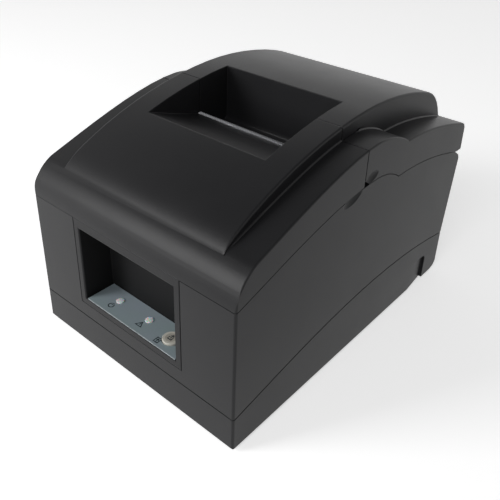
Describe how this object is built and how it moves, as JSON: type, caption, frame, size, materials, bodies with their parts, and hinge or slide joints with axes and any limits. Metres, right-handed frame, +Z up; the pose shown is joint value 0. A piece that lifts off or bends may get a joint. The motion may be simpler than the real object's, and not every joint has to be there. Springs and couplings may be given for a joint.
{
  "type": "dot matrix receipt printer",
  "caption": "Compact dot matrix printer with an arched case, a sunken well for the paper, a control recess in front and two hinged covers over ribbon and paper roll.",
  "frame": {"origin": "on the table under the middle of the printer's bounding box", "axes": "+X to the right seen from the front, +Y from the control panel to the back, +Z up"},
  "size_m": [0.16, 0.2314, 0.15],
  "materials": {
    "case_plastic": "fine matte grain",
    "bezel_plastic": "fine matte grain",
    "label_film": "satin printed film",
    "lamp_clear": "milky clear",
    "button_plastic": "satin",
    "rubber": "matte",
    "bright_steel": "brushed",
    "sheet_steel": "zinc plated sheet",
    "shaft_steel": "ground and polished",
    "dark_plastic": "matte moulding",
    "head_metal": "cast, painted grey",
    "belt_rubber": "matte",
    "gear_plastic": "natural acetal",
    "brass": "machined",
    "motor_steel": "satin",
    "roller_rubber": "matte",
    "ribbon_plastic": "matte moulding",
    "knob_plastic": "satin",
    "ribbon_cloth": "inked cloth",
    "circuit_board": "solder mask",
    "chip_plastic": "matte",
    "port_metal": "nickel plated",
    "port_plastic": "matte"
  },
  "bodies": {
    "case": {"base_case": "case_plastic", "upper_case": "case_plastic", "front_bezel": "bezel_plastic", "control_label": "label_film", "power_led": "lamp_clear", "error_led": "lamp_clear", "control_board": "circuit_board", "front_hinge_pins": "bright_steel", "rear_hinge_pins": "bright_steel", "rubber_feet": "rubber", "case_screws": "bright_steel", "inner_screws": "bright_steel", "mech_chassis": "sheet_steel", "main_guide_shaft": "shaft_steel", "side_guide_shaft": "shaft_steel", "carriage_belt": "belt_rubber", "carriage_motor": "motor_steel", "feed_motor": "motor_steel", "ribbon_cassette": "ribbon_plastic", "ink_ribbon": "ribbon_cloth", "paper_bucket": "dark_plastic", "main_board": "circuit_board", "board_parts": "chip_plastic", "interface_port": "port_metal", "drawer_port": "port_plastic", "power_inlet": "port_plastic", "switch_housing": "port_plastic"},
    "front_cover": {"front_cover": "case_plastic", "tear_bar": "bright_steel"},
    "rear_cover": {"rear_cover": "case_plastic", "platen": "dark_plastic"},
    "pinch": {"pinch_roller": "roller_rubber"},
    "carriage": {"print_carriage": "dark_plastic", "print_head": "head_metal"},
    "drive_pulley": {"drive_pulley": "gear_plastic"},
    "idler_pulley": {"idler_pulley": "gear_plastic"},
    "feed_roll": {"feed_roller": "roller_rubber", "feed_gear": "gear_plastic"},
    "upper_idler": {"upper_idler_gear": "gear_plastic"},
    "lower_idler": {"lower_idler_gear": "gear_plastic"},
    "motor_pinion": {"motor_pinion": "brass"},
    "ribbon_knob": {"ribbon_knob": "knob_plastic"},
    "feed_button": {"feed_button": "button_plastic"},
    "power_rocker": {"power_rocker": "port_plastic"}
  },
  "joints": [
    {"name": "front_cover_hinge", "type": "hinge", "parent": "case", "child": "front_cover", "pos_m": [0, -0.10855, 0.064], "axis": [1, 0, 0], "range_deg": [0, 60]},
    {"name": "rear_cover_hinge", "type": "hinge", "parent": "case", "child": "rear_cover", "pos_m": [0, 0.10529, 0.072], "axis": [-1, 0, 0], "range_deg": [0, 78]},
    {"name": "pinch_spin", "type": "hinge", "parent": "rear_cover", "child": "pinch", "pos_m": [0, -0.00625, 0.096], "axis": [1, 0, 0], "continuous": true},
    {"name": "carriage_slide", "type": "slide", "parent": "case", "child": "carriage", "axis": [1, 0, 0], "range_m": [-0.03, 0.03]},
    {"name": "drive_pulley_spin", "type": "hinge", "parent": "case", "child": "drive_pulley", "pos_m": [0.046, -0.06575, 0.053], "axis": [0, 0, 1], "range_deg": [-265, 265]},
    {"name": "idler_pulley_spin", "type": "hinge", "parent": "case", "child": "idler_pulley", "pos_m": [-0.046, -0.06575, 0.053], "axis": [0, 0, 1], "range_deg": [-265, 265]},
    {"name": "feed_spin", "type": "hinge", "parent": "case", "child": "feed_roll", "pos_m": [0, -0.01555, 0.096], "axis": [1, 0, 0], "continuous": true},
    {"name": "upper_idler_spin", "type": "hinge", "parent": "case", "child": "upper_idler", "pos_m": [-0.062, -0.02174, 0.07116], "axis": [1, 0, 0], "continuous": true},
    {"name": "lower_idler_spin", "type": "hinge", "parent": "case", "child": "lower_idler", "pos_m": [-0.062, -0.02773, 0.04299], "axis": [1, 0, 0], "continuous": true},
    {"name": "motor_pinion_spin", "type": "hinge", "parent": "case", "child": "motor_pinion", "pos_m": [-0.062, -0.04374, 0.03239], "axis": [1, 0, 0], "continuous": true},
    {"name": "ribbon_knob_spin", "type": "hinge", "parent": "case", "child": "ribbon_knob", "pos_m": [-0.038, -0.07075, 0.086], "axis": [0, 0, 1], "continuous": true},
    {"name": "feed_button_press", "type": "slide", "parent": "case", "child": "feed_button", "axis": [0, 0, -1], "range_m": [0, 0.001], "stiffness_N_per_m": 500, "springref_m": -0.0005},
    {"name": "power_rocker_tilt", "type": "hinge", "parent": "case", "child": "power_rocker", "pos_m": [-0.058, 0.10575, 0.019], "axis": [1, 0, 0], "range_deg": [0, 14]}
  ],
  "couplings": [
    {"joint": "drive_pulley_spin", "follows": "carriage_slide", "rad_per_m": -147.06},
    {"joint": "idler_pulley_spin", "follows": "carriage_slide", "rad_per_m": -147.06},
    {"joint": "upper_idler_spin", "follows": "feed_spin", "ratio": -0.6},
    {"joint": "lower_idler_spin", "follows": "feed_spin", "ratio": 0.75},
    {"joint": "motor_pinion_spin", "follows": "feed_spin", "ratio": -1.5}
  ]
}
